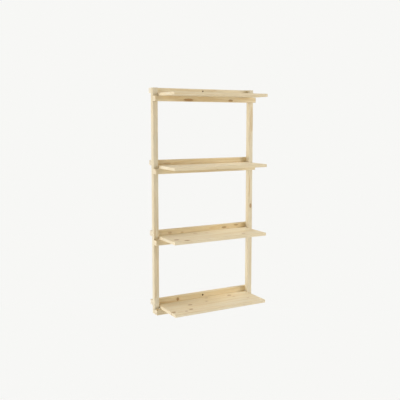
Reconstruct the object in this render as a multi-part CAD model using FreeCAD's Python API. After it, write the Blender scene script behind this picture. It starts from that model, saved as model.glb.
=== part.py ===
"""Wall-hung pine shelf unit: two uprights, and levels of a back rail, a front rail and a shelf board.

Millimetres. X runs along the shelves from the middle, and +Z is up from midway between the wall-screw holes.
The wall is the plane Y = 0, with the front of the unit at -Y.
"""
import FreeCAD, Part
import os

# Overall sizes
overall_height = 1200.0
overall_width = 620.0
level_names = ("top", "upper", "lower", "bottom")

# Square bars: the uprights and the rails in front of and behind them
upright_width = 27.0
upright_depth = 27.0
rail_height = 27.0
rail_depth = 27.0
bar_arris_radius = 1.4

# Shelf boards
shelf_thickness = 16.0
shelf_depth = 236.0
shelf_rear_setback = 2.0
shelf_end_gap = 3.5
shelf_arris_radius = 1.4

# Wall-screw holes, in the middle of the top and the bottom back rail
wall_hole_radius = 2.75
wall_sink_radius = 5.5

# Countersunk wood screws with a hexagon socket
screw_radius = 2.2
screw_head_radius = 4.2
screw_head_height = 2.6
screw_rim_height = 0.5
screw_tip_length = 5.0
screw_socket_sides = 6
screw_socket_radius = 1.7
screw_socket_depth = 1.6
screw_head_recess = 0.6
bar_screw_bite = 16.0
shelf_screw_bite = 9.0

# Dowels with bevelled ends
dowel_radius = 4.0
dowel_length = 30.0
dowel_bevel = 0.8

# Where fasteners sit, as shares of the width and height of the face that two bars share
crossing_across_share = 0.20
crossing_up_share = 0.20
# Shelf screws, as a share of the shelf's length to each side of the middle
shelf_screw_share = 0.38

# Room around a fastener in its hole, and how far a cut runs past a face
fastener_clearance = 0.1
hole_end_clearance = 0.5
overrun = 1.0

# Worked out from the sizes above
shelf_length = overall_width - 2 * upright_width - 2 * shelf_end_gap
stack_height = rail_height + shelf_thickness + rail_height
level_pitch = (overall_height - stack_height) / (len(level_names) - 1)
upright_rear = -rail_depth
upright_front = upright_rear - upright_depth
front_rail_front = upright_front - rail_depth
upright_centre_x = (overall_width - upright_width) / 2
wall_hole_spacing = level_pitch * (len(level_names) - 1)
upright_top = wall_hole_spacing / 2 + rail_height / 2
# A screw head's usual right-angled cone is as deep as it is wide on each side of the hole
wall_sink_depth = wall_sink_radius - wall_hole_radius

LEFT_SIDE = -1
RIGHT_SIDE = 1
BOTH_SIDES = (LEFT_SIDE, RIGHT_SIDE)
FULL_TURN = 360
RIGHT = FreeCAD.Vector(1, 0, 0)
FORWARD = FreeCAD.Vector(0, -1, 0)
UP = FreeCAD.Vector(0, 0, 1)
ORIGIN = FreeCAD.Vector(0, 0, 0)


def level_centre(index):
    """Height of the back rail's middle at a level, counted from the top."""
    return wall_hole_spacing / 2 - index * level_pitch


def shelf_top(index):
    return level_centre(index) - rail_height / 2


def front_rail_top(index):
    return shelf_top(index) - shelf_thickness


def front_rail_centre(index):
    return front_rail_top(index) - rail_height / 2


def eased_block(size, low_corner, arris_radius):
    """A planed block with every edge rounded over."""
    block = Part.makeBox(size.x, size.y, size.z, low_corner)
    return block.makeFillet(arris_radius, block.Edges)


def placed(shape, point, direction):
    """Turns a shape made along +Z to a direction and sets its start at a point."""
    copy = shape.copy()
    copy.Placement = FreeCAD.Placement(point, FreeCAD.Rotation(UP, direction))
    return copy


def turned(profile):
    """Spins a closed outline of (radius, height) pairs about the Z axis."""
    corners = [FreeCAD.Vector(radius, 0, height) for radius, height in profile]
    face = Part.Face(Part.makePolygon(corners + corners[:1]))
    return face.revolve(ORIGIN, UP, FULL_TURN)


def wood_screw(length):
    """A screw along +Z, with the top of its head at the start."""
    body = turned([
        (0, 0),
        (screw_head_radius, 0),
        (screw_head_radius, screw_rim_height),
        (screw_radius, screw_head_height),
        (screw_radius, length - screw_tip_length),
        (0, length),
    ])
    turns = [FreeCAD.Rotation(UP, FULL_TURN * n / screw_socket_sides) for n in range(screw_socket_sides)]
    corners = [turn.multVec(RIGHT * screw_socket_radius) for turn in turns]
    outline = Part.Face(Part.makePolygon(corners + corners[:1]))
    socket = outline.extrude(UP * (screw_socket_depth + overrun))
    socket.translate(UP * -overrun)
    return body.cut(socket)


def screw_hole(length):
    """The room that a screw needs along +Z, from the face that its head is sunk below."""
    head_top = screw_head_recess
    rim_bottom = head_top + screw_rim_height
    head_bottom = head_top + screw_head_height
    head_room = screw_head_radius + fastener_clearance
    shank_room = screw_radius + fastener_clearance
    return turned([
        (0, -overrun),
        (head_room, -overrun),
        (head_room, rim_bottom),
        (shank_room, head_bottom),
        (shank_room, head_top + length + hole_end_clearance),
        (0, head_top + length + hole_end_clearance),
    ])


def dowel():
    """A dowel along +Z, with its middle at the start."""
    half = dowel_length / 2
    return turned([
        (0, -half),
        (dowel_radius - dowel_bevel, -half),
        (dowel_radius, dowel_bevel - half),
        (dowel_radius, half - dowel_bevel),
        (dowel_radius - dowel_bevel, half),
        (0, half),
    ])


def dowel_hole():
    half = dowel_length / 2 + hole_end_clearance
    start = UP * -half
    return Part.makeCylinder(dowel_radius + fastener_clearance, 2 * half, start, UP)


def wall_screw_hole():
    """A hole along +Z from the wall, sunk at its far end for a countersunk head."""
    return turned([
        (0, -overrun),
        (wall_hole_radius, -overrun),
        (wall_hole_radius, rail_depth - wall_sink_depth),
        (wall_sink_radius, rail_depth),
        (wall_sink_radius, rail_depth + overrun),
        (0, rail_depth + overrun),
    ])


# Screw lengths: the piece that the head lies in, less its recess, and the bite beyond
back_rail_screw_length = rail_depth - screw_head_recess + bar_screw_bite
front_rail_screw_length = upright_depth - screw_head_recess + bar_screw_bite
shelf_screw_length = rail_height - screw_head_recess + shelf_screw_bite


def crossing_points(centre_z, joint_y, screw_y, sides):
    """Screw and dowel places where a rail crosses the uprights, on a slant across the shared face."""
    across = upright_width * crossing_across_share
    up = rail_height * crossing_up_share
    screws = [FreeCAD.Vector(s * (upright_centre_x - across), screw_y, centre_z - up) for s in sides]
    dowels = [FreeCAD.Vector(s * (upright_centre_x + across), joint_y, centre_z + up) for s in sides]
    return screws, dowels


def back_crossing(index, sides=BOTH_SIDES):
    return crossing_points(level_centre(index), upright_rear, 0, sides)


def front_crossing(index, sides=BOTH_SIDES):
    return crossing_points(front_rail_centre(index), upright_front, upright_rear, sides)


def shelf_screw_points(index):
    y = (upright_front + front_rail_front) / 2
    z = front_rail_top(index) - rail_height
    return [FreeCAD.Vector(s * shelf_length * shelf_screw_share, y, z) for s in BOTH_SIDES]


def crossing_holes(crossing, screw_length):
    screws, dowels = crossing
    holes = [placed(screw_hole(screw_length), point, FORWARD) for point in screws]
    holes += [placed(dowel_hole(), point, FORWARD) for point in dowels]
    return holes


def upright(side):
    size = FreeCAD.Vector(upright_width, upright_depth, overall_height)
    low_corner = FreeCAD.Vector(
        side * upright_centre_x - upright_width / 2, upright_front, upright_top - overall_height
    )
    bar = eased_block(size, low_corner, bar_arris_radius)
    holes = []
    for index in range(len(level_names)):
        holes += crossing_holes(back_crossing(index, (side,)), back_rail_screw_length)
        holes += crossing_holes(front_crossing(index, (side,)), front_rail_screw_length)
    return bar.cut(holes)


def rail(rear_y, centre_z):
    size = FreeCAD.Vector(overall_width, rail_depth, rail_height)
    low_corner = FreeCAD.Vector(-overall_width / 2, rear_y - rail_depth, centre_z - rail_height / 2)
    return eased_block(size, low_corner, bar_arris_radius)


def back_rail(index):
    holes = crossing_holes(back_crossing(index), back_rail_screw_length)
    if index in (0, len(level_names) - 1):
        holes.append(placed(wall_screw_hole(), UP * level_centre(index), FORWARD))
    return rail(0, level_centre(index)).cut(holes)


def front_rail(index):
    holes = crossing_holes(front_crossing(index), front_rail_screw_length)
    holes += [placed(screw_hole(shelf_screw_length), point, UP) for point in shelf_screw_points(index)]
    return rail(upright_front, front_rail_centre(index)).cut(holes)


def shelf(index):
    size = FreeCAD.Vector(shelf_length, shelf_depth, shelf_thickness)
    low_corner = FreeCAD.Vector(
        -shelf_length / 2, -shelf_rear_setback - shelf_depth, shelf_top(index) - shelf_thickness
    )
    board = eased_block(size, low_corner, shelf_arris_radius)
    return board.cut([placed(screw_hole(shelf_screw_length), p, UP) for p in shelf_screw_points(index)])


def screws_at(points, length, direction):
    """A group of screws, each head sunk below the face that it was driven from."""
    return Part.makeCompound(
        [placed(wood_screw(length), point + direction * screw_head_recess, direction) for point in points]
    )


def dowels_at(points):
    return Part.makeCompound([placed(dowel(), point, FORWARD) for point in points])


def level_pieces(index):
    back_screws, back_dowels = back_crossing(index)
    front_screws, front_dowels = front_crossing(index)
    return {
        "back_rail": back_rail(index),
        "front_rail": front_rail(index),
        "shelf": shelf(index),
        "back_rail_screws": screws_at(back_screws, back_rail_screw_length, FORWARD),
        "back_rail_dowels": dowels_at(back_dowels),
        "front_rail_screws": screws_at(front_screws, front_rail_screw_length, FORWARD),
        "front_rail_dowels": dowels_at(front_dowels),
        "shelf_screws": screws_at(shelf_screw_points(index), shelf_screw_length, UP),
    }


pieces = {"left_upright": upright(LEFT_SIDE), "right_upright": upright(RIGHT_SIDE)}
for index, level in enumerate(level_names):
    for name, shape in level_pieces(index).items():
        pieces[f"{level}_{name}"] = shape

os.makedirs("parts", exist_ok=True)
for name, shape in pieces.items():
    shape.exportStep(f"parts/{name}.step")
    print(name, "solids", len(shape.Solids), "valid", shape.isValid(), "volume", round(shape.Volume, 1))
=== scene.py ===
"""Looks for the wall-hung shelf unit: knotty pine bars and boards, beech dowels, zinc screws and a studio.

Metres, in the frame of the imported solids: X runs along the shelves, the wall is Y = 0, the front is at -Y.
"""

import math
from typing import NamedTuple

import bmesh
import bpy
from mathutils import Color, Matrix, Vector


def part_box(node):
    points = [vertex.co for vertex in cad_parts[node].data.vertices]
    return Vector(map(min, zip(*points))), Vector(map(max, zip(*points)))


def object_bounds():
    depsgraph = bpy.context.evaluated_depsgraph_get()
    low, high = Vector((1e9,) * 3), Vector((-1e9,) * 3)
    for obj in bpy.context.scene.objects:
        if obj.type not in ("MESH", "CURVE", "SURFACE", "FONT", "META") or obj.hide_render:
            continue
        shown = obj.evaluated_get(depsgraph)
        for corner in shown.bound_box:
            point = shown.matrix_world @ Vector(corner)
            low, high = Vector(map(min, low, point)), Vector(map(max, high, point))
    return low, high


bl_info = {
    "name": "Pine Wall Shelf",
    "version": (1, 0, 0),
    "blender": (4, 5, 0),
    "location": "3D View > Sidebar > Pine Shelf",
    "description": "Dresses the packed shelf unit in knotty pine and sets up its studio",
    "category": "Object",
}

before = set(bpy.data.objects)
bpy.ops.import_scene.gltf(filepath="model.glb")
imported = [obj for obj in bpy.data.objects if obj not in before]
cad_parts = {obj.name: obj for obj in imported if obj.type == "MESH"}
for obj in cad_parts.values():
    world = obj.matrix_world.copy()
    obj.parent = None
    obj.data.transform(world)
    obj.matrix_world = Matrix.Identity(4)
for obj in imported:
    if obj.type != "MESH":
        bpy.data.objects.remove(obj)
cad_low, cad_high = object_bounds()
cad_middle = (cad_low + cad_high) / 2

LEVELS = ("top", "upper", "lower", "bottom")


class Knot(NamedTuple):
    """A knot that runs straight through a piece, placed from the piece's middle; one long faint one is
    painted shade instead.

    Stretch is its length along the grain over its width, and depth is how strongly it shows.
    """

    along: float
    across: float
    radius: float
    stretch: float
    depth: float


class Streak(NamedTuple):
    """A long darker streak, placed from the piece's middle: mostly resin-rich wood, while a few stand partly
    for painted shade.
    """

    across: float
    start: float
    end: float
    width: float
    depth: float


class Timber(NamedTuple):
    """How one piece was sawn: where the tree's middle lay from its own, its growth, and its marks.

    End grain is how chalky its sawn ends are, and bored is how strongly painted shade darkens its wall-screw
    hole.
    """

    pith: tuple
    seed: float
    warmth: float
    ring_scale: float
    tone: float
    end_grain: float = 0.35
    bored: float = 0.0
    knots: tuple = ()
    streaks: tuple = ()


# Each knot and streak gives its fields in the order above, lengths in metres
UPRIGHT_TIMBER = {
    "left_upright": Timber(
        pith=(-0.009, 0.036), seed=3.1, warmth=0.32, ring_scale=1.1, tone=0.975,
        streaks=(
            Streak(0.0095, -0.56, 0.10, 0.0030, 0.40),
            Streak(0.0080, 0.12, 0.55, 0.0026, 0.30),
            Streak(-0.0030, -0.20, 0.30, 0.0020, 0.18),
        ),
    ),
    "right_upright": Timber(
        pith=(0.005, 0.030), seed=8.4, warmth=0.22, ring_scale=1.3, tone=0.965,
        knots=(
            Knot(-0.054, 0.0025, 0.0064, 1.8, 0.75),
        ),
        streaks=(
            Streak(-0.0055, 0.250, 0.478, 0.0022, 0.75),
            Streak(-0.0055, -0.034, 0.146, 0.0032, 0.90),
            Streak(0.0060, -0.42, -0.12, 0.0026, 0.25),
        ),
    ),
}

# The three lower rails sit in the recess behind the shelves; their high warmth partly stands as painted
# shade for the warm shadow that falls there.
BACK_RAIL_TIMBER = {
    "top_back_rail": Timber(
        pith=(0.010, 0.042), seed=1.3, warmth=0.20, ring_scale=1.0, tone=1.085, end_grain=0.7, bored=0.7,
        streaks=(
            Streak(0.006, -0.22, 0.16, 0.0030, 0.25),
        ),
    ),
    "upper_back_rail": Timber(
        pith=(-0.012, 0.031), seed=5.7, warmth=0.79, ring_scale=1.2, tone=1.04, end_grain=0.7,
        knots=(
            # Painted shade: a long faint dark patch at the rail's left end, where the left upright and the
            # shelf shade it.
            Knot(-0.218, -0.006, 0.0042, 4.5, 0.40),
        ),
        streaks=(
            Streak(-0.006, -0.29, -0.06, 0.0036, 0.45),
            Streak(0.004, 0.02, 0.28, 0.0030, 0.30),
        ),
    ),
    "lower_back_rail": Timber(
        pith=(0.002, 0.028), seed=12.9, warmth=0.91, ring_scale=1.0, tone=1.06, end_grain=0.7,
        knots=(
            Knot(-0.204, -0.004, 0.0048, 2.2, 0.45),
            Knot(-0.130, -0.009, 0.0040, 2.2, 0.42),
            Knot(0.139, -0.003, 0.0050, 3.0, 0.80),
            Knot(0.218, 0.005, 0.0042, 3.0, 0.75),
        ),
        streaks=(
            Streak(-0.008, -0.12, 0.10, 0.0030, 0.40),
            Streak(0.003, -0.29, -0.10, 0.0034, 0.35),
        ),
    ),
    "bottom_back_rail": Timber(
        pith=(-0.006, 0.038), seed=20.2, warmth=0.92, ring_scale=1.1, tone=1.08, end_grain=0.7, bored=1.0,
        knots=(
            Knot(-0.158, -0.002, 0.0085, 0.75, 0.95),
        ),
        streaks=(
            # Partly a resin streak and partly painted shade: dark along the foot of the rail at its left
            # end, where it meets the shelf beside the left upright.
            Streak(-0.009, -0.31, -0.14, 0.0050, 0.85),
            Streak(-0.004, -0.13, 0.05, 0.0030, 0.15),
            Streak(0.005, 0.08, 0.29, 0.0030, 0.30),
        ),
    ),
}

FRONT_RAIL_TIMBER = {
    "top_front_rail": Timber(
        pith=(0.004, 0.033), seed=6.6, warmth=0.86, ring_scale=1.1, tone=1.06,
        knots=(
            Knot(-0.117, -0.005, 0.0060, 4.2, 0.92),
            Knot(0.144, -0.005, 0.0050, 2.6, 0.80),
        ),
        streaks=(
            # Darkens the rail along its whole length near its lower edge.
            Streak(-0.009, -0.30, 0.30, 0.0032, 0.35),
            Streak(-0.004, -0.22, -0.04, 0.0050, 0.55),
        ),
    ),
    "upper_front_rail": Timber(
        pith=(-0.010, 0.040), seed=14.8, warmth=0.85, ring_scale=1.0, tone=1.03,
        knots=(
            Knot(0.062, 0.003, 0.0045, 1.7, 0.6),
        ),
    ),
    "lower_front_rail": Timber(
        pith=(0.008, 0.029), seed=17.5, warmth=0.78, ring_scale=1.2, tone=1.07,
        knots=(
            Knot(-0.085, -0.005, 0.0050, 1.6, 0.6),
            Knot(0.236, 0.004, 0.0042, 1.5, 0.6),
        ),
    ),
    "bottom_front_rail": Timber(
        pith=(0.003, 0.035), seed=23.4, warmth=0.75, ring_scale=1.0, tone=1.05,
        knots=(
            Knot(0.018, 0.004, 0.0046, 1.8, 0.6),
        ),
    ),
}

SHELF_TIMBER = {
    "top_shelf": Timber(
        pith=(0.0, -0.046), seed=2.2, warmth=0.55, ring_scale=1.5, tone=1.06, end_grain=0.2,
        knots=(
            Knot(-0.182, 0.052, 0.0065, 1.4, 0.7),
            Knot(0.094, -0.036, 0.0075, 1.4, 0.7),
            Knot(0.214, 0.081, 0.0055, 1.4, 0.6),
        ),
    ),
    "upper_shelf": Timber(
        pith=(0.0, -0.052), seed=9.1, warmth=0.48, ring_scale=1.6, tone=1.085, end_grain=0.2,
        knots=(
            Knot(-0.226, 0.070, 0.0050, 1.5, 0.3),
            Knot(0.058, -0.012, 0.0050, 1.5, 0.25),
        ),
    ),
    "lower_shelf": Timber(
        pith=(0.0, -0.044), seed=15.6, warmth=0.64, ring_scale=1.4, tone=1.075, end_grain=0.2,
        knots=(
            Knot(-0.070, 0.051, 0.0075, 1.5, 0.35),
            Knot(-0.006, 0.041, 0.0050, 1.5, 0.32),
            Knot(-0.243, -0.062, 0.0085, 1.5, 1.0),
            Knot(-0.203, -0.102, 0.0085, 1.5, 1.0),
            Knot(0.160, -0.075, 0.0065, 1.5, 0.6),
        ),
        streaks=(
            Streak(0.072, -0.14, 0.22, 0.005, 0.30),
            Streak(0.020, -0.24, 0.05, 0.006, 0.30),
            Streak(-0.034, -0.05, 0.27, 0.005, 0.30),
        ),
    ),
    "bottom_shelf": Timber(
        pith=(0.0, -0.040), seed=27.3, warmth=0.57, ring_scale=1.3, tone=1.08, end_grain=0.2,
        knots=(
            Knot(-0.131, -0.001, 0.0085, 1.4, 0.68),
            Knot(-0.163, -0.073, 0.0075, 1.3, 0.80),
            Knot(-0.268, -0.076, 0.0080, 1.3, 0.82),
            Knot(-0.200, -0.089, 0.0060, 1.3, 0.6),
            Knot(0.010, 0.071, 0.0065, 1.4, 0.55),
            Knot(-0.020, 0.014, 0.0050, 1.4, 0.5),
            Knot(0.150, 0.052, 0.0085, 1.3, 0.75),
            Knot(0.160, 0.021, 0.0050, 1.4, 0.4),
            Knot(0.217, -0.039, 0.0050, 1.5, 0.35),
        ),
        streaks=(
            Streak(0.060, -0.26, 0.02, 0.006, 0.35),
            Streak(0.030, -0.08, 0.25, 0.005, 0.30),
            Streak(-0.022, -0.20, 0.24, 0.006, 0.30),
            Streak(-0.060, 0.02, 0.27, 0.005, 0.25),
        ),
    ),
}


class PineSettings(bpy.types.PropertyGroup):
    """Colours and growth of the pine."""

    early_wood: bpy.props.FloatVectorProperty(
        name="Early wood", description="Pale wood that each growth ring starts with",
        subtype="COLOR_GAMMA", min=0, max=1, default=(0.913, 0.882, 0.789),
    )
    late_wood: bpy.props.FloatVectorProperty(
        name="Late wood", description="Darker wood that each growth ring ends with",
        subtype="COLOR_GAMMA", min=0, max=1, default=(0.826, 0.716, 0.527),
    )
    warm_wood: bpy.props.FloatVectorProperty(
        name="Warm wood", description="Deeper tone that the wood drifts towards along a piece",
        subtype="COLOR_GAMMA", min=0, max=1, default=(0.878, 0.806, 0.648),
    )
    end_grain: bpy.props.FloatVectorProperty(
        name="End grain", description="Chalky wood on the sawn ends",
        subtype="COLOR_GAMMA", min=0, max=1, default=(0.872, 0.856, 0.812),
    )
    knot_heart: bpy.props.FloatVectorProperty(
        name="Knot heart", description="Wood inside a knot",
        subtype="COLOR_GAMMA", min=0, max=1, default=(0.685, 0.512, 0.295),
    )
    knot_rim: bpy.props.FloatVectorProperty(
        name="Knot rim", description="Dark bark line around a knot",
        subtype="COLOR_GAMMA", min=0, max=1, default=(0.490, 0.325, 0.160),
    )
    # Painted shade: the dark colour put into the wall-screw holes for the shadow inside them
    painted_bore_shade: bpy.props.FloatVectorProperty(
        name="Bored wood", description="Scorched wood inside a wall-screw hole",
        subtype="COLOR_GAMMA", min=0, max=1, default=(0.410, 0.240, 0.060),
    )
    ring_width: bpy.props.FloatProperty(
        name="Ring width", description="Growth of the tree in one year",
        unit="LENGTH", min=0.0005, max=0.02, default=0.0026,
    )
    ring_contrast: bpy.props.FloatProperty(
        name="Ring contrast", description="How far the late wood shows",
        subtype="FACTOR", min=0, max=1, default=0.55,
    )
    band_width: bpy.props.FloatProperty(
        name="Band width", description="Run of years that grew alike, which shows as one broad stripe",
        unit="LENGTH", min=0.001, max=0.1, default=0.007,
    )
    stave_count: bpy.props.IntProperty(
        name="Staves", description="Strips that a shelf board is glued up from", min=1, max=12, default=3,
    )
    roughness: bpy.props.FloatProperty(
        name="Roughness", description="Roughness of the planed and oiled surface",
        subtype="FACTOR", min=0, max=1, default=0.60,
    )
    worn_edge: bpy.props.FloatProperty(
        name="Worn edge", description="How far in from an edge the sanding shows",
        unit="LENGTH", min=0.0001, max=0.01, default=0.0018,
    )


class FastenerSettings(bpy.types.PropertyGroup):
    """Colours of the dowels and screws."""

    dowel_wood: bpy.props.FloatVectorProperty(
        name="Dowel wood", description="Beech of the dowels",
        subtype="COLOR_GAMMA", min=0, max=1, default=(0.830, 0.690, 0.520),
    )
    dowel_fleck: bpy.props.FloatVectorProperty(
        name="Dowel fleck", description="Short dark rays in the beech",
        subtype="COLOR_GAMMA", min=0, max=1, default=(0.640, 0.460, 0.310),
    )
    screw_plating: bpy.props.FloatVectorProperty(
        name="Screw plating", description="Zinc on the screws",
        subtype="COLOR_GAMMA", min=0, max=1, default=(0.640, 0.640, 0.630),
    )
    screw_tarnish: bpy.props.FloatVectorProperty(
        name="Screw tarnish", description="Duller patches in the zinc",
        subtype="COLOR_GAMMA", min=0, max=1, default=(0.470, 0.460, 0.435),
    )


class StudioSettings(bpy.types.PropertyGroup):
    """Light, background and camera."""

    background: bpy.props.FloatVectorProperty(
        name="Background", description="Pale tone behind and below the unit",
        subtype="COLOR_GAMMA", min=0, max=1, default=(0.969, 0.969, 0.961),
    )
    ambient: bpy.props.FloatProperty(
        name="Ambient", description="Strength of the even light from all round", min=0, max=2, default=0.12,
    )
    ambient_tint: bpy.props.FloatVectorProperty(
        name="Ambient tint", description="Colour of the even light from all round",
        subtype="COLOR_GAMMA", min=0, max=1, default=(1.0, 0.88, 0.72),
    )
    left_power: bpy.props.FloatProperty(
        name="Left power", description="Power of the soft lamp at the unit's left side",
        unit="POWER", min=0, max=1000, default=168.0,
    )
    left_front_power: bpy.props.FloatProperty(
        name="Left front power", description="Power of the soft lamp at the left front",
        unit="POWER", min=0, max=1000, default=98.0,
    )
    right_front_power: bpy.props.FloatProperty(
        name="Right front power", description="Power of the soft lamp at the right front",
        unit="POWER", min=0, max=1000, default=154.0,
    )
    high_power: bpy.props.FloatProperty(
        name="High power", description="Power of the soft lamp high at the right side",
        unit="POWER", min=0, max=1000, default=186.0,
    )
    rear_high_power: bpy.props.FloatProperty(
        name="Rear high power", description="Power of the soft lamp high behind the unit",
        unit="POWER", min=0, max=1000, default=82.0,
    )
    rear_power: bpy.props.FloatProperty(
        name="Rear power", description="Power of the soft lamp behind the unit",
        unit="POWER", min=0, max=1000, default=61.0,
    )
    lamp_tint: bpy.props.FloatVectorProperty(
        name="Lamp tint", description="Colour of the soft lamps",
        subtype="COLOR_GAMMA", min=0, max=1, default=(1.0, 1.0, 1.0),
    )
    floor_drop: bpy.props.FloatProperty(
        name="Floor drop", description="Height of the unit's foot above the floor",
        unit="LENGTH", min=0, max=5, default=0.9,
    )
    floor_size: bpy.props.FloatProperty(
        name="Floor size", description="Side of the square floor",
        unit="LENGTH", min=1, max=100, default=16.0,
    )
    floor_fill: bpy.props.FloatVectorProperty(
        name="Floor fill",
        description="Light that brings the floor up to the background where no shadow falls",
        subtype="COLOR_GAMMA", min=0, max=1, default=(0.300, 0.350, 0.410),
    )
    shadow_place: bpy.props.FloatVectorProperty(
        name="Shadow place", description="Middle of the unit's shadow on the floor",
        subtype="XYZ", unit="LENGTH", size=2, default=(-0.9, -0.2),
    )
    shadow_reach: bpy.props.FloatProperty(
        name="Shadow reach", description="How far round its middle the floor shows the shadow",
        unit="LENGTH", min=0.1, max=10, default=1.1,
    )
    camera_place: bpy.props.FloatVectorProperty(
        name="Camera place", description="Where the camera stands",
        subtype="TRANSLATION", unit="LENGTH", default=(-1.654, -2.959, 0.405),
    )
    camera_turn: bpy.props.FloatProperty(
        name="Camera turn", description="Turn to the right of straight at the wall",
        subtype="ANGLE", default=math.radians(29.165),
    )
    camera_dip: bpy.props.FloatProperty(
        name="Camera dip", description="Tilt below the level", subtype="ANGLE", default=math.radians(6.385),
    )
    camera_lens: bpy.props.FloatProperty(
        name="Camera lens", description="Focal length in millimetres on a 36 mm sensor",
        unit="CAMERA", min=1, max=500, default=55.23,
    )
    camera_shift: bpy.props.FloatProperty(
        name="Camera shift", description="Upward shift of the lens, in image widths", default=-0.025,
    )


class Reading:
    """A value that varies over a surface. Sums written with it become Math nodes."""

    def __init__(self, finish, output):
        self.finish = finish
        self.output = output

    def __add__(self, other):
        return self.finish.maths("ADD", self, other)

    def __radd__(self, other):
        return self.finish.maths("ADD", other, self)

    def __sub__(self, other):
        return self.finish.maths("SUBTRACT", self, other)

    def __rsub__(self, other):
        return self.finish.maths("SUBTRACT", other, self)

    def __mul__(self, other):
        return self.finish.maths("MULTIPLY", self, other)

    def __rmul__(self, other):
        return self.finish.maths("MULTIPLY", other, self)

    def __truediv__(self, other):
        return self.finish.maths("DIVIDE", self, other)

    def __rtruediv__(self, other):
        return self.finish.maths("DIVIDE", other, self)


class Finish:
    """A material or world under construction: its nodes, and the few kinds of step that it needs here."""

    def __init__(self, owner):
        owner.use_nodes = True
        self.owner = owner
        self.tree = owner.node_tree
        self.tree.nodes.clear()

    def node(self, kind, settings=None, inputs=None):
        """Adds a node: its settings first, then what its sockets hold or are linked to."""
        made = self.tree.nodes.new(kind)
        for name, value in (settings or {}).items():
            setattr(made, name, value)
        for key, value in (inputs or {}).items():
            if isinstance(value, Reading):
                self.tree.links.new(value.output, made.inputs[key])
            else:
                made.inputs[key].default_value = value
        return made

    def read(self, kind, output, settings=None, inputs=None):
        """Adds a node and gives one of its outputs."""
        return Reading(self, self.node(kind, settings, inputs).outputs[output])

    def maths(self, operation, *terms):
        return self.read("ShaderNodeMath", 0, {"operation": operation}, dict(enumerate(terms)))

    def size(self, value):
        return self.maths("ABSOLUTE", value)

    def larger(self, first, second):
        return self.maths("MAXIMUM", first, second)

    def smaller(self, first, second):
        return self.maths("MINIMUM", first, second)

    def root(self, value):
        return self.maths("SQRT", value)

    def bell(self, value):
        """One at zero, falling away smoothly on both sides."""
        return self.maths("EXPONENT", value * value * -1.0)

    def step(self, value, start, end):
        """Rises smoothly from 0 at the start to 1 at the end."""
        return self.read(
            "ShaderNodeMapRange", 0, {"interpolation_type": "SMOOTHSTEP"},
            {"Value": value, "From Min": start, "From Max": end},
        )

    def between(self, share, low, high):
        """Goes from low to high as the share goes from 0 to 1."""
        return share * (high - low) + low

    def place(self):
        """The point on the piece, in metres, as three values."""
        point = self.read("ShaderNodeTexCoord", "Object")
        split = self.node("ShaderNodeSeparateXYZ", None, {"Vector": point})
        return [Reading(self, output) for output in split.outputs]

    def point(self, x, y, z):
        return self.read("ShaderNodeCombineXYZ", "Vector", None, {"X": x, "Y": y, "Z": z})

    def drift(self, value, frequency, seed):
        """Slow noise along one direction, about zero."""
        return self.read(
            "ShaderNodeTexNoise", "Fac", {"noise_dimensions": "1D"},
            {"W": value * frequency + seed, "Scale": 1.0, "Detail": 1.0, "Roughness": 0.4},
        ) - 0.5

    def noise(self, point, scale, detail, roughness=0.5):
        """Noise in space, about zero."""
        return self.read(
            "ShaderNodeTexNoise", "Fac", {"noise_dimensions": "3D"},
            {"Vector": point, "Scale": scale, "Detail": detail, "Roughness": roughness},
        ) - 0.5

    def grain(self, place, repeats, detail, roughness=0.5):
        """Noise about zero, drawn out by how often it repeats in a metre each way."""
        point = self.point(*(value * rate for value, rate in zip(place, repeats)))
        return self.noise(point, 1.0, detail, roughness)

    def chance(self, number, output="Value"):
        """A fixed random value for each whole number."""
        return self.read("ShaderNodeTexWhiteNoise", output, {"noise_dimensions": "1D"}, {"W": number})

    def blend(self, share, first, second, kind="MIX"):
        """A colour between two colours."""
        return self.read(
            "ShaderNodeMix", 2, {"data_type": "RGBA", "blend_type": kind},
            {0: share, 6: shade(first), 7: shade(second)},
        )

    def grey(self, value):
        channels = {"Red": value, "Green": value, "Blue": value}
        return self.read("ShaderNodeCombineColor", "Color", None, channels)

    def surface(self, colour, roughness, height, relief, settings):
        """Ends the material in one shader, with the height as a fine relief in metres."""
        bump = self.read(
            "ShaderNodeBump", "Normal", None, {"Height": height, "Distance": relief, "Strength": 1.0}
        )
        inputs = {"Base Color": colour, "Roughness": roughness, "Normal": bump, **settings}
        shader = self.read("ShaderNodeBsdfPrincipled", "BSDF", None, inputs)
        self.node("ShaderNodeOutputMaterial", None, {"Surface": shader})
        return self.owner

    def pale_to_the_eye(self, shown, other, end):
        """Ends in two shaders: the camera, gloss and glass see the first, and light sees the other."""
        rays = self.node("ShaderNodeLightPath").outputs
        camera, gloss, glass = (
            Reading(self, rays[f"Is {kind} Ray"]) for kind in ("Camera", "Glossy", "Transmission")
        )
        seen = self.larger(self.larger(camera, gloss), glass)
        mixed = self.read("ShaderNodeMixShader", 0, None, {0: seen, 1: other, 2: shown})
        self.node(end, None, {"Surface": mixed})


def shade(colour):
    """A colour as it looks on screen, in the scene's own values; a reading is left as it is."""
    if isinstance(colour, Reading):
        return colour
    return (*Color(colour).from_srgb_to_scene_linear(), 1.0)


# Pine: how often a pattern repeats in a metre, along the grain, across it and through the piece
WAVER_REPEATS = (4.0, 55.0, 55.0)
FIBRE_REPEATS = (14.0, 900.0, 900.0)
DUCT_REPEATS = (30.0, 420.0, 420.0)
CLOUD_REPEATS = (3.0, 16.0, 16.0)
LUMP_REPEATS = 160.0
SWAY_REPEATS = (2.3, 1.9)
STREAK_REPEATS = 5.0
# Added to a piece's seed, or multiplied with it, so that its patterns don't run alike
SWAY_SEED = 40.0
STREAK_SEED = 60.0
BAND_SEED = 80.0
YEAR_SEED_SCALE = 3.0

# Rings: how far they sway and waver, in metres, and how strongly a year and a run of years show
SWAY = 0.013
WAVER = 0.0022
YEAR_STRENGTH = (0.4, 1.0)
BAND_STRENGTH = (0.45, 1.35)
BAND_EDGES = (-0.12, 0.18)
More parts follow.
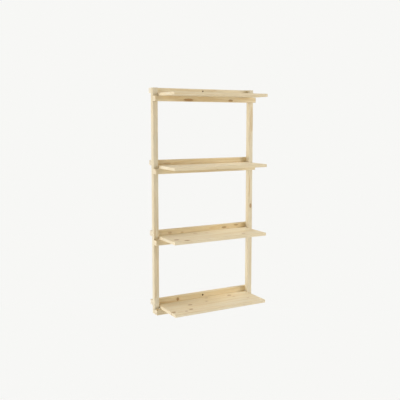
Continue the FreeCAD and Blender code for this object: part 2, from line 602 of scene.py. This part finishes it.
# Where in a year's growth the late wood comes and goes
LATE_START = (0.30, 0.94)
LATE_END = (0.955, 1.0)

# Staves: how much one differs from the next, in stave widths aside and metres deeper and further along
STAVE_ASIDE = 0.8
STAVE_DEEPER = 0.03
STAVE_FURTHER = 9.0
STAVE_JOINT = 0.0004
# Keeps the board's far edge from counting as one more stave
STAVE_FIT = 0.999

# Knots, measured in their radii: how lumpy and sharp they are, and how far they push the rings aside
KNOT_LUMP = 0.5
KNOT_EDGE = (0.75, 1.1)
KNOT_RIM_SHARPNESS = 6.0
KNOT_HALO_SHARPNESS = 0.5
KNOT_TURNS = 17.0
KNOT_PUSH = 1.2
KNOT_PUSH_SHARPNESS = 0.62

# Streaks: the share of their length that fades at each end, and how far they sway and fray
STREAK_FADE = 0.35
STREAK_SWAY = 0.006
STREAK_FRAY = 0.8

# Noise at which a resin duct starts and is full, and how much of a sanded edge is worn
DUCT_EDGES = (0.24, 0.34)
WORN_SHARE = 0.7
# How deep a sawn end is chalky, and from which to which radius the painted shade in a bore fades, in metres
SAWN_DEPTH = 0.0012
BORE_EDGE = (0.0046, 0.0055)

# What warms the wood, and how far the fibres and ducts show
CLOUD_WARMTH = 1.1
BAND_WARMTH = 0.3
STAVE_WARMTH = 0.35
FIBRE_SHADE = 0.10
DUCT_SHADE = 0.16
# Marks painted over the grain, in this order: how far each shows, and in which colour
PAINTED_MARKS = (
    ("halo", 0.34, "late_wood"),
    ("heart", 0.80, "knot_heart"),
    ("turns", 0.34, "knot_rim"),
    ("rim", 0.56, "knot_rim"),
    ("joint", 0.35, "knot_heart"),
    ("worn", 0.30, "early_wood"),
)
# What each mark adds to the roughness, and to the height of the relief
ROUGHNESS_MARKS = {"fibre": 0.16, "late": -0.07, "worn": 0.08}
HEIGHT_MARKS = {"late": 0.55, "fibre": 0.5, "duct": -0.4, "rim": -0.8, "joint": -0.7}
PINE_RELIEF = 0.00012
PINE_SPECULAR = 0.25


class Pine(Finish):
    """The pine of one piece: rings round the tree's middle, cut by the piece's faces, with knots in them."""

    def __init__(self, node, timber, axes, staves):
        super().__init__(bpy.data.materials.new(f"pine_{node}"))
        self.look = bpy.context.scene.pine_shelf_wood
        self.timber = timber
        self.marks = {}
        low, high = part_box(node)
        middle = (low + high) / 2
        half = (high - low) / 2
        order = ["XYZ".index(letter) for letter in axes]
        placed = [value - middle[i] for i, value in enumerate(self.place())]
        self.along, self.across, self.through = (placed[i] for i in order)
        self.half_along, self.half_across, self.half_through = (half[i] for i in order)
        if staves > 1:
            self.saw_staves(staves)
        else:
            self.saw_bar()

    def saw_bar(self):
        """A bar comes from one place in a tree."""
        self.length = self.along
        self.from_pith = self.across - self.timber.pith[0]
        self.depth_to_pith = self.through - self.timber.pith[1]

    def saw_staves(self, staves):
        """Each strip of a glued board comes from another place in a tree."""
        width = 2 * self.half_across / staves
        stave = self.maths("FLOOR", (self.across * STAVE_FIT + self.half_across) / width)
        in_stave = self.across + self.half_across - (stave + 0.5) * width
        luck = self.node("ShaderNodeSeparateColor", None, {
            "Color": self.chance(stave + self.timber.seed, "Color"),
        })
        aside, deeper, further = (Reading(self, output) for output in luck.outputs)
        self.length = self.along + further * STAVE_FURTHER
        self.from_pith = in_stave + (aside - 0.5) * width * STAVE_ASIDE
        self.depth_to_pith = self.through - self.timber.pith[1] + (deeper - 0.5) * STAVE_DEEPER
        to_joint = width / 2 - self.size(in_stave)
        to_side = self.half_across - self.size(self.across)
        within = self.step(to_side, STAVE_JOINT, 2 * STAVE_JOINT)
        self.marks["joint"] = (1 - self.step(to_joint, 0.0, STAVE_JOINT)) * within
        self.marks["stave"] = further - 0.5

    def mark_knots(self, distance):
        """Marks the knots, and gives the distance from the pith with the rings pushed aside round them."""
        lump = self.noise(self.point(self.along, self.across, self.through), LUMP_REPEATS, detail=1.0)
        for knot in self.timber.knots:
            lengthwise = (self.along - knot.along) / (knot.radius * knot.stretch)
            sideways = (self.across - knot.across) / knot.radius
            reach = self.root(lengthwise * lengthwise + sideways * sideways) + lump * KNOT_LUMP
            distance = distance + self.bell(reach * KNOT_PUSH_SHARPNESS) * (knot.radius * KNOT_PUSH)
            heart = (1 - self.step(reach, *KNOT_EDGE)) * knot.depth
            parts = {
                "heart": heart,
                "rim": self.bell((reach - 1.0) * KNOT_RIM_SHARPNESS) * knot.depth,
                "halo": self.bell(reach * KNOT_HALO_SHARPNESS) * knot.depth,
                "turns": heart * (self.maths("SINE", reach * KNOT_TURNS) * 0.5 + 0.5),
            }
            for name, mark in parts.items():
                self.marks[name] = self.larger(self.marks[name], mark) if name in self.marks else mark
        return distance

    def mark_grain(self):
        """Marks each year's late wood, runs of years, and the fibres and resin ducts along the grain."""
        seed = self.timber.seed
        place = (self.length, self.across, self.through)
        aside_sway = self.drift(self.length, SWAY_REPEATS[0], seed)
        depth_sway = self.drift(self.length, SWAY_REPEATS[1], seed + SWAY_SEED)
        aside = self.from_pith + aside_sway * SWAY
        depth = self.depth_to_pith + depth_sway * SWAY
        waver = self.grain(place, WAVER_REPEATS, detail=2.0)
        distance = self.root(aside * aside + depth * depth) + waver * WAVER
        if self.timber.knots:
            distance = self.mark_knots(distance)
        years = distance / (self.look.ring_width * self.timber.ring_scale) + seed
        year = self.maths("FLOOR", years)
        part = years - year
        band = self.step(self.drift(distance, 1 / self.look.band_width, seed + BAND_SEED), *BAND_EDGES)
        luck = self.chance(year + seed * YEAR_SEED_SCALE)
        strength = self.between(luck, *YEAR_STRENGTH) * self.between(band, *BAND_STRENGTH)
        late = self.step(part, *LATE_START) * (1 - self.step(part, *LATE_END))
        self.marks["late"] = late * strength
        self.marks["band"] = band
        self.marks["fibre"] = self.grain(place, FIBRE_REPEATS, detail=3.0, roughness=0.6)
        self.marks["duct"] = self.step(self.grain(place, DUCT_REPEATS, detail=0.0), *DUCT_EDGES)
        self.marks["cloud"] = self.grain(place, CLOUD_REPEATS, detail=2.0)

    def mark_edges(self):
        """Marks the sanded arrises: the second nearest pair of faces tells how far an edge is."""
        first = self.half_along - self.size(self.along)
        second = self.half_across - self.size(self.across)
        third = self.half_through - self.size(self.through)
        least = self.smaller(first, second)
        most = self.larger(first, second)
        to_edge = self.larger(least, self.smaller(most, third))
        near = 1 - self.step(to_edge, 0.0, self.look.worn_edge)
        self.marks["worn"] = near * (self.marks["cloud"] + WORN_SHARE)

    def base_colour(self):
        """Wood between its pale and warm tones, chalky on the sawn ends."""
        look = self.look
        warmth = self.marks["cloud"] * CLOUD_WARMTH + (self.marks["band"] - 0.5) * BAND_WARMTH
        warmth = warmth + self.timber.warmth
        if "stave" in self.marks:
            warmth = warmth + self.marks["stave"] * STAVE_WARMTH
        warmth = self.smaller(self.larger(warmth, 0.0), 1.0)
        colour = self.blend(warmth, look.early_wood, look.warm_wood)
        sawn = self.step(self.size(self.along), self.half_along - SAWN_DEPTH, self.half_along)
        return self.blend(sawn * self.timber.end_grain, colour, look.end_grain)

    def with_streaks(self, colour):
        """Long streaks in late wood's colour, frayed along the fibres and faded at both ends: resin streaks,
        some partly painted shade.
        """
        sway = self.drift(self.along, STREAK_REPEATS, self.timber.seed + STREAK_SEED) * STREAK_SWAY
        fray = self.marks["fibre"] * STREAK_FRAY + 1.0
        for streak in self.timber.streaks:
            sideways = (self.across - streak.across + sway) / streak.width
            fade = STREAK_FADE * (streak.end - streak.start)
            begun = self.step(self.along, streak.start, streak.start + fade)
            ended = self.step(self.along, streak.end - fade, streak.end)
            mark = self.bell(sideways) * begun * (1 - ended) * fray
            colour = self.blend(mark * streak.depth, colour, self.look.late_wood)
        return colour

    def with_painted_bore_shade(self, colour):
        """Painted shade for the shadow inside the wall-screw hole and its countersink, which run through the
        piece's middle.
        """
        from_axis = self.root(self.along * self.along + self.across * self.across)
        bore_shaded = (1 - self.step(from_axis, *BORE_EDGE)) * self.timber.bored
        return self.blend(bore_shaded, colour, self.look.painted_bore_shade)

    def tally(self, start, shares):
        """Adds the marks that the piece has, each times its share, to a starting value."""
        return sum((self.marks[name] * share for name, share in shares.items() if name in self.marks), start)

    def finished(self):
        """Puts the marks together and gives the material."""
        look = self.look
        marks = self.marks
        self.mark_grain()
        self.mark_edges()
        colour = self.base_colour()
        colour = self.blend(marks["late"] * look.ring_contrast, colour, look.late_wood)
        colour = self.blend(marks["duct"] * DUCT_SHADE, colour, look.knot_heart)
        fibres = self.grey(marks["fibre"] * FIBRE_SHADE + self.timber.tone)
        colour = self.blend(1.0, colour, fibres, "MULTIPLY")
        if self.timber.streaks:
            colour = self.with_streaks(colour)
        for name, share, paint in PAINTED_MARKS:
            if name in marks:
                colour = self.blend(marks[name] * share, colour, getattr(look, paint))
        # Paints shade into the wall-screw hole
        if self.timber.bored:
            colour = self.with_painted_bore_shade(colour)
        roughness = self.tally(look.roughness, ROUGHNESS_MARKS)
        height = self.tally(0.0, HEIGHT_MARKS)
        return self.surface(colour, roughness, height, PINE_RELIEF, {"Specular IOR Level": PINE_SPECULAR})


# Beech of the dowels, which lie along Y: repeats in a metre along X, Y and Z, then how far each shows
BEECH_GRAIN_REPEATS = (500.0, 25.0, 500.0)
BEECH_RAY_REPEATS = (900.0, 160.0, 900.0)
BEECH_RAY_EDGES = (0.12, 0.26)
BEECH_GRAIN_SHADE = 0.5
BEECH_RAY_SHADE = 0.5
BEECH_RAY_DEPTH = 0.3
BEECH_ROUGHNESS = 0.55
BEECH_GRAIN_ROUGHNESS = 0.2
BEECH_RELIEF = 0.0001
BEECH_SPECULAR = 0.3


def beech(name):
    """Turned beech for the dowels, with short dark rays along the grain."""
    look = bpy.context.scene.pine_shelf_fasteners
    finish = Finish(bpy.data.materials.new(name))
    place = finish.place()
    grain = finish.grain(place, BEECH_GRAIN_REPEATS, detail=2.0)
    rays = finish.step(finish.grain(place, BEECH_RAY_REPEATS, detail=0.0), *BEECH_RAY_EDGES)
    colour = finish.blend((grain + 0.5) * BEECH_GRAIN_SHADE, look.dowel_wood, look.dowel_fleck)
    colour = finish.blend(rays * BEECH_RAY_SHADE, colour, look.dowel_fleck)
    roughness = grain * BEECH_GRAIN_ROUGHNESS + BEECH_ROUGHNESS
    height = grain - rays * BEECH_RAY_DEPTH
    return finish.surface(colour, roughness, height, BEECH_RELIEF, {"Specular IOR Level": BEECH_SPECULAR})


# Zinc of the screws: repeats in a metre, then where clouds start and what each adds to the roughness
ZINC_CLOUD_REPEATS = 380.0
ZINC_SCUFF_REPEATS = (2600.0, 700.0, 2600.0)
ZINC_CLOUD_EDGES = (-0.12, 0.18)
ZINC_ROUGHNESS = 0.34
ZINC_CLOUD_ROUGHNESS = 0.35
ZINC_SCUFF_ROUGHNESS = 0.15
ZINC_RELIEF = 0.00004


def zinc(name):
    """Zinc plating with duller clouds and fine marks from the driver."""
    look = bpy.context.scene.pine_shelf_fasteners
    finish = Finish(bpy.data.materials.new(name))
    place = finish.place()
    cloud = finish.noise(finish.point(*place), ZINC_CLOUD_REPEATS, detail=3.0, roughness=0.6)
    scuff = finish.grain(place, ZINC_SCUFF_REPEATS, detail=2.0)
    colour = finish.blend(finish.step(cloud, *ZINC_CLOUD_EDGES), look.screw_plating, look.screw_tarnish)
    roughness = cloud * ZINC_CLOUD_ROUGHNESS + scuff * ZINC_SCUFF_ROUGHNESS + ZINC_ROUGHNESS
    return finish.surface(colour, roughness, scuff, ZINC_RELIEF, {"Metallic": 1.0})


def dress(node, material):
    """Puts a material on a solid in place of the plain one that it came with."""
    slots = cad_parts[node].data.materials
    slots.clear()
    slots.append(material)


def dress_timber(pieces, axes, staves=1):
    """Gives pieces their pine. The axes run along the grain, across the face and through the piece."""
    for node, timber in pieces.items():
        dress(node, Pine(node, timber, axes, staves).finished())


class PINESHELF_OT_uprights(bpy.types.Operator):
    """Gives the two uprights their pine, with the grain running up"""

    bl_idname = "pine_shelf.uprights"
    bl_label = "Dress Uprights"

    def execute(self, context):
        dress_timber(UPRIGHT_TIMBER, "ZXY")
        return {"FINISHED"}


class PINESHELF_OT_back_rails(bpy.types.Operator):
    """Gives the rails against the wall their pine"""

    bl_idname = "pine_shelf.back_rails"
    bl_label = "Dress Back Rails"

    def execute(self, context):
        dress_timber(BACK_RAIL_TIMBER, "XZY")
        return {"FINISHED"}


class PINESHELF_OT_front_rails(bpy.types.Operator):
    """Gives the rails under the shelves their pine"""

    bl_idname = "pine_shelf.front_rails"
    bl_label = "Dress Front Rails"

    def execute(self, context):
        dress_timber(FRONT_RAIL_TIMBER, "XZY")
        return {"FINISHED"}


class PINESHELF_OT_shelves(bpy.types.Operator):
    """Gives the shelf boards their pine, glued up from staves"""

    bl_idname = "pine_shelf.shelves"
    bl_label = "Dress Shelves"

    def execute(self, context):
        dress_timber(SHELF_TIMBER, "XYZ", context.scene.pine_shelf_wood.stave_count)
        return {"FINISHED"}


class PINESHELF_OT_dowels(bpy.types.Operator):
    """Gives the dowels in the crossings their beech"""

    bl_idname = "pine_shelf.dowels"
    bl_label = "Dress Dowels"

    def execute(self, context):
        wood = beech("beech_dowels")
        for level in LEVELS:
            dress(f"{level}_back_rail_dowels", wood)
            dress(f"{level}_front_rail_dowels", wood)
        return {"FINISHED"}


class PINESHELF_OT_screws(bpy.types.Operator):
    """Gives the wood screws their zinc plating"""

    bl_idname = "pine_shelf.screws"
    bl_label = "Dress Screws"

    def execute(self, context):
        plating = zinc("zinc_screws")
        for level in LEVELS:
            dress(f"{level}_back_rail_screws", plating)
            dress(f"{level}_front_rail_screws", plating)
            dress(f"{level}_shelf_screws", plating)
        return {"FINISHED"}


def studio_world(studio):
    """A pale background that the camera sees, and a warmer even light that falls on the unit."""
    world = bpy.data.worlds.new("studio_world")
    bpy.context.scene.world = world
    finish = Finish(world)
    shown = finish.read("ShaderNodeBackground", 0, None, {"Color": shade(studio.background)})
    light = finish.read("ShaderNodeBackground", 0, None, {
        "Color": shade(studio.ambient_tint), "Strength": studio.ambient,
    })
    finish.pale_to_the_eye(shown, light, "ShaderNodeOutputWorld")


def floor_finish(studio):
    """A floor as pale as the background, apart from the shadow that the unit throws on it."""
    finish = Finish(bpy.data.materials.new("studio_floor"))
    pale = finish.read("ShaderNodeEmission", 0, None, {"Color": shade(studio.background)})
    plain = finish.read("ShaderNodeBsdfDiffuse", 0, None, {"Color": shade(studio.background)})
    fill = finish.read("ShaderNodeEmission", 0, None, {"Color": shade(studio.floor_fill)})
    shaded = finish.read("ShaderNodeAddShader", 0, None, {0: plain, 1: fill})
    x, y, _ = finish.place()
    aside = x - studio.shadow_place[0]
    ahead = y - studio.shadow_place[1]
    near = finish.bell(finish.root(aside * aside + ahead * ahead) / studio.shadow_reach)
    shown = finish.read("ShaderNodeMixShader", 0, None, {0: near, 1: pale, 2: shaded})
    finish.pale_to_the_eye(shown, plain, "ShaderNodeOutputMaterial")
    return finish.owner


def studio_floor(studio):
    """A square floor well below the unit, which hangs."""
    sheet = bmesh.new()
    bmesh.ops.create_grid(sheet, x_segments=1, y_segments=1, size=studio.floor_size / 2)
    drop = Vector((0, 0, cad_low.z - studio.floor_drop))
    bmesh.ops.translate(sheet, verts=sheet.verts, vec=drop)
    mesh = bpy.data.meshes.new("studio_floor")
    sheet.to_mesh(mesh)
    sheet.free()
    mesh.materials.append(floor_finish(studio))
    floor = bpy.data.objects.new("studio_floor", mesh)
    bpy.context.scene.collection.objects.link(floor)


class Lamp(NamedTuple):
    """Where a soft lamp stands, how large it is and which setting holds its power."""

    place: tuple
    size: tuple
    power: str


# Places and sizes in metres
LAMPS = {
    "left_lamp": Lamp((-5.71, 1.41, 1.02), (2.16, 2.70), "left_power"),
    "left_front_lamp": Lamp((-5.20, -3.00, 0.81), (2.16, 2.70), "left_front_power"),
    "right_front_lamp": Lamp((4.50, -3.95, 1.02), (2.16, 2.70), "right_front_power"),
    "high_lamp": Lamp((4.40, -1.72, 5.18), (2.52, 3.15), "high_power"),
    "rear_high_lamp": Lamp((1.72, 2.86, 4.89), (2.16, 2.70), "rear_high_power"),
    "rear_lamp": Lamp((0.0, 4.88, 0.15), (1.80, 2.25), "rear_power"),
}


def soft_lamp(name, lamp, studio):
    """A soft lamp that points at the unit's middle."""
    light = bpy.data.lights.new(name, "AREA")
    light.shape = "RECTANGLE"
    light.size, light.size_y = lamp.size
    light.energy = getattr(studio, lamp.power)
    light.color = shade(studio.lamp_tint)[:3]
    holder = bpy.data.objects.new(name, light)
    holder.location = lamp.place
    holder.rotation_euler = (cad_middle - Vector(lamp.place)).to_track_quat("-Z", "Y").to_euler()
    holder.visible_camera = False
    bpy.context.scene.collection.objects.link(holder)


# In millimetres and metres
SENSOR_WIDTH = 36.0
FARTHEST_SEEN = 100.0


def photo_camera(studio):
    """The photograph's view."""
    lens = bpy.data.cameras.new("camera")
    lens.sensor_width = SENSOR_WIDTH
    lens.lens = studio.camera_lens
    lens.shift_y = studio.camera_shift
    lens.clip_end = FARTHEST_SEEN
    holder = bpy.data.objects.new("camera", lens)
    holder.location = studio.camera_place
    holder.rotation_euler = (math.pi / 2 - studio.camera_dip, 0.0, -studio.camera_turn)
    bpy.context.scene.collection.objects.link(holder)
    bpy.context.scene.camera = holder


class PINESHELF_OT_stage(bpy.types.Operator):
    """Sets the pale floor, the soft light and the camera"""

    bl_idname = "pine_shelf.stage"
    bl_label = "Set Stage"

    def execute(self, context):
        studio = context.scene.pine_shelf_studio
        context.scene.view_settings.view_transform = "Standard"
        studio_world(studio)
        studio_floor(studio)
        for name, lamp in LAMPS.items():
            soft_lamp(name, lamp, studio)
        photo_camera(studio)
        return {"FINISHED"}


OPERATORS = (
    PINESHELF_OT_uprights,
    PINESHELF_OT_back_rails,
    PINESHELF_OT_front_rails,
    PINESHELF_OT_shelves,
    PINESHELF_OT_dowels,
    PINESHELF_OT_screws,
    PINESHELF_OT_stage,
)

SETTINGS = {
    "pine_shelf_wood": PineSettings,
    "pine_shelf_fasteners": FastenerSettings,
    "pine_shelf_studio": StudioSettings,
}


class PINESHELF_PT_panel(bpy.types.Panel):
    """Lists the unit's pieces and settings"""

    bl_idname = "PINESHELF_PT_panel"
    bl_label = "Pine Wall Shelf"
    bl_space_type = "VIEW_3D"
    bl_region_type = "UI"
    bl_category = "Pine Shelf"

    def draw(self, context):
        layout = self.layout
        for operator in OPERATORS:
            layout.operator(operator.bl_idname)
        for name, group in SETTINGS.items():
            box = layout.box()
            for setting in group.__annotations__:
                box.prop(getattr(context.scene, name), setting)


CLASSES = (*SETTINGS.values(), *OPERATORS, PINESHELF_PT_panel)


def register():
    for one in CLASSES:
        bpy.utils.register_class(one)
    for name, group in SETTINGS.items():
        setattr(bpy.types.Scene, name, bpy.props.PointerProperty(type=group))


def unregister():
    for name in SETTINGS:
        delattr(bpy.types.Scene, name)
    for one in reversed(CLASSES):
        bpy.utils.unregister_class(one)


def main():
    register()
    bpy.ops.pine_shelf.uprights()
    bpy.ops.pine_shelf.back_rails()
    bpy.ops.pine_shelf.front_rails()
    bpy.ops.pine_shelf.shelves()
    bpy.ops.pine_shelf.dowels()
    bpy.ops.pine_shelf.screws()
    bpy.ops.pine_shelf.stage()


if __name__ == "__main__":
    main()
